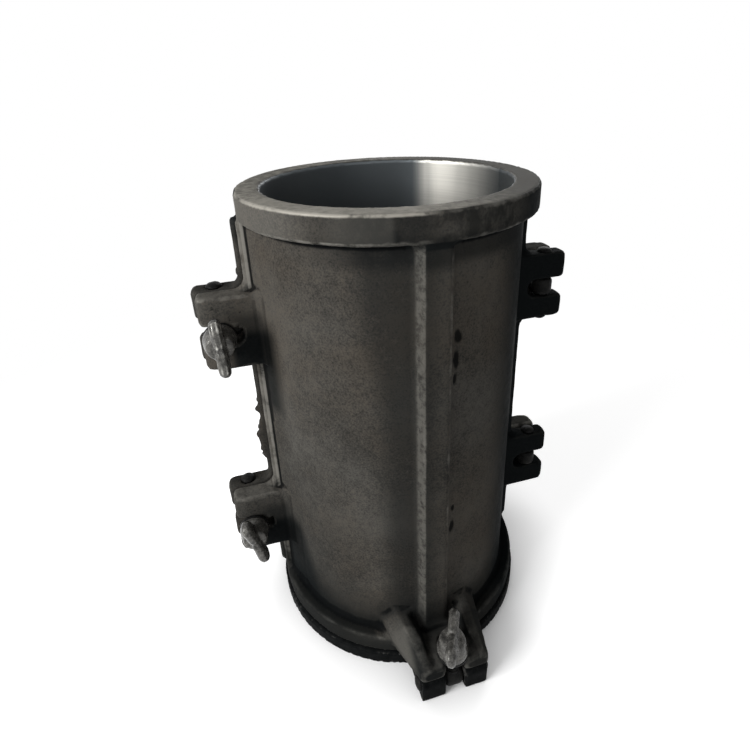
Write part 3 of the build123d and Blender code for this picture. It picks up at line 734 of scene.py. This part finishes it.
def threadTree():
    s = boltSettings
    tree = bpy.data.node_groups.new("threadedRod", "GeometryNodeTree")
    face = tree.interface
    face.new_socket("Geometry", in_out="OUTPUT", socket_type="NodeSocketGeometry")
    for name, kind in (("Length", "NodeSocketFloat"), ("Radius", "NodeSocketFloat"), ("Depth", "NodeSocketFloat"),
                       ("Pitch", "NodeSocketFloat"), ("Chamfer", "NodeSocketFloat"), ("Sides", "NodeSocketInt"),
                       ("Rings", "NodeSocketInt"), ("Finish", "NodeSocketMaterial")):
        face.new_socket(name, in_out="INPUT", socket_type=kind)
    g = NodeMaker(tree)
    given = g.add("NodeGroupInput")
    length, radius = given.out("Length"), given.out("Radius")
    rod = g.add("GeometryNodeMeshCylinder", {"fill_type": "NGON"}, {
        "Vertices": given.out("Sides"), "Side Segments": given.out("Rings"), "Radius": radius, "Depth": length})
    place = g.add("GeometryNodeInputPosition")
    parts = g.add("ShaderNodeSeparateXYZ", None, {0: place})
    x, y, z = parts.out("X"), parts.out("Y"), parts.out("Z")
    turn = g.sum("ARCTAN2", y, x) / (2 * math.pi)
    wholeTurns = 50  # keeps the phase above 0
    phase = g.sum("FRACT", z / given.out("Pitch") - turn + wholeTurns, 0)
    ridge = g.add("ShaderNodeClamp", None, {"Value": s["ridgeTop"] - s["ridgeSlope"] * abs(2 * phase - 1)})
    cut = given.out("Depth") * (1 - ridge)
    end = g.sum("MAXIMUM", given.out("Chamfer") - (length / 2 - z), 0)
    share = 1 - g.sum("MAXIMUM", cut, end) / radius
    moved = g.add("ShaderNodeCombineXYZ", None, {"X": x * share, "Y": y * share, "Z": z})
    rod = g.add("GeometryNodeSetPosition", None, {"Geometry": rod, "Position": moved})
    rod = g.add("GeometryNodeRealizeInstances", None, {"Geometry": rod})
    rod = g.add("GeometryNodeSetMaterial", None, {"Geometry": rod, "Material": given.out("Finish")})
    g.add("NodeGroupOutput", None, {"Geometry": rod})
    return tree


rodTree = threadTree()


def threadedRod(clamp):
    s = boltSettings
    rings = int(s["length"] / s["pitch"] * s["perTurn"])
    wanted = {"Length": s["length"], "Radius": s["radius"], "Depth": s["threadDepth"], "Pitch": s["pitch"],
              "Chamfer": s["chamfer"], "Sides": s["sides"], "Rings": rings, "Finish": boltFinish}
    piece = newPiece(f"{clamp}_thread", bpy.data.meshes.new(f"{clamp}_thread"))
    modifier = piece.modifiers.new("thread", "NODES")
    modifier.node_group = rodTree
    for item in rodTree.interface.items_tree:
        if item.in_out == "INPUT":
            modifier[item.identifier] = wanted[item.name]
    return plainMesh(piece), piece


def swingBolt(clamp, seed):
    s = boltSettings
    node = f"{clamp}_swing_bolt"
    way = clampWay(clamp)
    axis = np.array(way)
    low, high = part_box(f"{clamp}_washer")
    middle = (low + high) / 2
    boxLow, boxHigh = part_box(node)
    tip = max(boxLow.dot(way), boxHigh.dot(way))
    foot = min(boxLow.dot(way), boxHigh.dot(way))
    skin = reskin(cadCopy(node), f"{clamp}_eyeBolt", s["voxel"])
    skin.relax(s["relax"])
    skin.markBends(s["bend"], s["bendRounds"])

    # the skinned shank shrinks inside the thread
    reach = skin.place @ axis
    core = np.array(middle - way * middle.dot(way))
    spread = skin.place - reach[:, None] * axis - core
    thin = np.minimum(1, s["core"] / np.maximum(np.linalg.norm(spread, axis=1), samePlace))
    inThread = reach > tip - s["length"] - s["overlap"]
    skin.place[inThread] = (reach[:, None] * axis + core + spread * thin[:, None])[inThread]
    shorter = reach > tip - s["tipShort"]
    skin.place[shorter] -= (reach[shorter] - tip + s["tipShort"])[:, None] * axis

    skin.swell(s["rough"] * (unevenness(skin.place, s["roughOver"], seed) - 0.5) * (reach < foot + s["eye"]))
    skin.keepWithin(node)
    skin.finish(boltFinish)
    mesh, rod = threadedRod(clamp)
    mesh.transform(Matrix.Translation(middle + way * (tip - s["length"] / 2 - middle.dot(way))) @ along(way))
    work = bmesh.new()
    work.from_mesh(skin.mesh)
    work.from_mesh(mesh)
    work.to_mesh(skin.mesh)
    work.free()
    bpy.data.objects.remove(rod)
    standFor(skin.piece, node)


def latheSkin(work, name, middle, axis):  # a lathed mesh, put in its place
    mesh = bpy.data.meshes.new(name)
    work.to_mesh(mesh)
    work.free()
    mesh.transform(Matrix.Translation(middle) @ along([i == axis for i in range(3)]))
    return Skin(newPiece(name, mesh))


pinSettings = {
    "shank": 4.0, "head": 4.95, "headHeight": 2.6, "headRound": 0.2, "headEdge": 0.15, "sides": 40,
    "dome": ((4.95, 0.25), (4.7, 0.9), (4.0, 1.6), (2.9, 2.15), (1.5, 2.45), (0, 2.55)),
    "dent": 0.22 * mm, "dentScale": 420, "bend": 0.2 * mm, "bendRounds": 1,
}


def pivotPin(clamp, seed):
    s = pinSettings
    node = f"{clamp}_pivot_pin"
    low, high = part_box(node)
    size = high - low
    axis = max(range(3), key=lambda i: size[i])
    half = size[axis] / mm / 2 - s["headHeight"]
    upper = [(s["shank"], half), (s["head"] - s["headRound"], half), (s["head"], half + s["headEdge"])]
    upper += [(radius, half + height) for radius, height in s["dome"]]
    profile = [(radius, -height) for radius, height in reversed(upper)] + upper
    work = lathe([(radius * mm, height * mm) for radius, height in profile], s["sides"])
    for vert in work.verts:  # hammered heads
        if abs(vert.co.z) > (half + s["headRound"]) * mm:
            blow = noise.noise(vert.co * s["dentScale"] + Vector((seed, 0, 0)))
            vert.co -= vert.co.normalized() * s["dent"] * (0.5 + blow)
    skin = latheSkin(work, f"{clamp}_rivetPin", (low + high) / 2, axis)
    skin.markBends(s["bend"], s["bendRounds"])
    skin.finish(boltFinish)
    standFor(skin.piece, node)


washerSettings = {"inner": 5.35, "outer": 10.0, "thickness": 2.0, "round": 0.35, "roundMiddle": 0.3, "sides": 64,
                  "wear": 0.6, "grimeAndShade": 0.3, "grimeAndShadeWidth": 2}


def roundWasher(clamp):
    s = washerSettings
    node = f"{clamp}_washer"
    low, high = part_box(node)
    size = high - low
    axis = min(range(3), key=lambda i: size[i])
    half, r, a, b = s["thickness"] / 2, s["round"], s["inner"], s["outer"]
    part = r * s["roundMiddle"]
    lower = [(a, -half + r), (a + part, -half + part), (a + r, -half), ((a + b) / 2, -half), (b - r, -half),
             (b - part, -half + part), (b, -half + r)]
    loop = lower + [(radius, -height) for radius, height in reversed(lower)]
    work = lathe([(radius * mm, height * mm) for radius, height in loop + loop[:1]], s["sides"])
    bmesh.ops.remove_doubles(work, verts=work.verts, dist=samePlace)
    bmesh.ops.recalc_face_normals(work, faces=work.faces)
    skin = latheSkin(work, f"{clamp}_seatWasher", (low + high) / 2, axis)
    across = np.linalg.norm(np.delete(skin.place - np.array((low + high) / 2), axis, 1), axis=1)
    skin.attribute("edgeWearAndGlint", s["wear"] * (across > (b - r) * mm))
    # grime and painted shade round the bore, under the nut
    skin.attribute("grimeAndShade", s["grimeAndShade"] * (across < (a + s["grimeAndShadeWidth"]) * mm))
    skin.finish(boltFinish)
    standFor(skin.piece, node)


seeds = {"nut": 20.0, "bolt": 50.0, "pin": 80.0, "step": 7}
for turn, clamp in enumerate(clampNames):
    shift = seeds["step"] * turn
    castNut(clamp, seeds["nut"] + shift)
    swingBolt(clamp, seeds["bolt"] + shift)
    pivotPin(clamp, seeds["pin"] + shift)
    roundWasher(clamp)
    print(clamp, "clamp made")


stageSettings = {
    "floorSize": 60.0, "floorColour": (0.86, 0.86, 0.86), "nearGlow": 0.68, "contact": 60 * mm, "contactSamples": 8,
    "fadeFrom": 0.22, "fadeTo": 0.62, "worldLight": 0.12, "white": (1, 1, 1, 1),
}


def seenRays(m):  # 1 where the camera, a reflection or glass looks, 0 for light
    rays = m.add("ShaderNodeLightPath")
    seen = m.sum("MAXIMUM", rays.out("Is Camera Ray"), rays.out("Is Glossy Ray"))
    return m.sum("MAXIMUM", seen, rays.out("Is Transmission Ray"))


def makeFloor():
    s = stageSettings
    half = s["floorSize"] / 2
    mesh = bpy.data.meshes.new("floor")
    mesh.from_pydata([(-half, -half, 0), (half, -half, 0), (half, half, 0), (-half, half, 0)], [], [(0, 1, 2, 3)])
    floor = newPiece("floor", mesh)
    material, m = newFinish("paleFloor")
    plain = m.add("ShaderNodeBsdfDiffuse", None, {"Color": (*s["floorColour"], 1)})
    clear = m.add("ShaderNodeAmbientOcclusion", {"samples": s["contactSamples"]}, {"Distance": s["contact"]}).out("AO")
    glow = m.add("ShaderNodeEmission", None, {"Color": s["white"], "Strength": s["nearGlow"]})
    lit = m.add("ShaderNodeAddShader", None, {0: plain, 1: glow})
    near = m.add("ShaderNodeMixShader", None, {0: clear ** 2, 1: plain, 2: lit})
    white = m.add("ShaderNodeEmission", None, {"Color": s["white"], "Strength": 1.0})
    where = m.add("ShaderNodeTexCoord").out("Object")
    distance = m.add("ShaderNodeVectorMath", {"operation": "LENGTH"}, {0: where}).out("Value")
    shown = m.add("ShaderNodeMixShader", None, {0: m.step(distance, s["fadeFrom"], s["fadeTo"]), 1: near, 2: white})
    surface = m.add("ShaderNodeMixShader", None, {0: seenRays(m), 1: plain, 2: shown})
    m.add("ShaderNodeOutputMaterial", None, {"Surface": surface})
    mesh.materials.append(material)


def makeWorld():
    s = stageSettings
    world = bpy.data.worlds.new("studio")
    bpy.context.scene.world = world
    world.use_nodes = True
    m = NodeMaker(world.node_tree)
    dim = m.add("ShaderNodeBackground", None, {"Color": s["white"], "Strength": s["worldLight"]})
    white = m.add("ShaderNodeBackground", None, {"Color": s["white"], "Strength": 1.0})
    surface = m.add("ShaderNodeMixShader", None, {0: seenRays(m), 1: dim, 2: white})
    m.add("ShaderNodeOutputWorld", None, {"Surface": surface})


lampSettings = {
    "aim": (0, 0, 0.16),
    "lamps": {
        "window": {"place": (-1.42, -0.50, 0.86), "size": 0.8, "power": 33},
        "front": {"place": (-0.10, -1.6, 0.75), "size": 1.0, "power": 5.0},
        "back": {"place": (0.85, 1.45, 0.95), "size": 1.2, "power": 11},
    },
}


def makeLamps():
    for name, s in lampSettings["lamps"].items():
        data = bpy.data.lights.new(name, "AREA")
        data.size, data.energy = s["size"], s["power"]
        lamp = bpy.data.objects.new(name, data)
        ahead = Vector(lampSettings["aim"]) - Vector(s["place"])
        lamp.matrix_world = Matrix.Translation(s["place"]) @ ahead.to_track_quat("-Z", "Y").to_matrix().to_4x4()
        bpy.context.scene.collection.objects.link(lamp)


cameraSettings = {"place": (-0.0874, -0.3064, 0.3662), "heading": 14.9, "pitch": 24.22, "roll": 2.21,
                  "lens": 25.07, "sensor": 36, "nearest": 0.01, "shift": (-0.0089, -0.086)}


def makeCamera():
    s = cameraSettings
    heading, pitch, roll = (math.radians(s[key]) for key in ("heading", "pitch", "roll"))
    ahead = Vector((math.sin(heading) * math.cos(pitch), math.cos(heading) * math.cos(pitch), -math.sin(pitch)))
    right = Vector((math.cos(heading), -math.sin(heading), 0))
    turn = Matrix.Rotation(roll, 3, ahead)
    right, up = turn @ right, turn @ right.cross(ahead)
    data = bpy.data.cameras.new("photoCamera")
    data.lens, data.sensor_width, data.clip_start = s["lens"], s["sensor"], s["nearest"]
    data.shift_x, data.shift_y = s["shift"]
    camera = bpy.data.objects.new("photoCamera", data)
    bpy.context.scene.collection.objects.link(camera)
    place = Matrix((right, up, -ahead)).transposed().to_4x4()
    place.translation = Vector(s["place"])
    camera.matrix_world = place
    bpy.context.scene.camera = camera


makeFloor()
makeWorld()
makeLamps()
makeCamera()
bpy.context.scene.view_settings.view_transform = "Standard"
print("stage made")
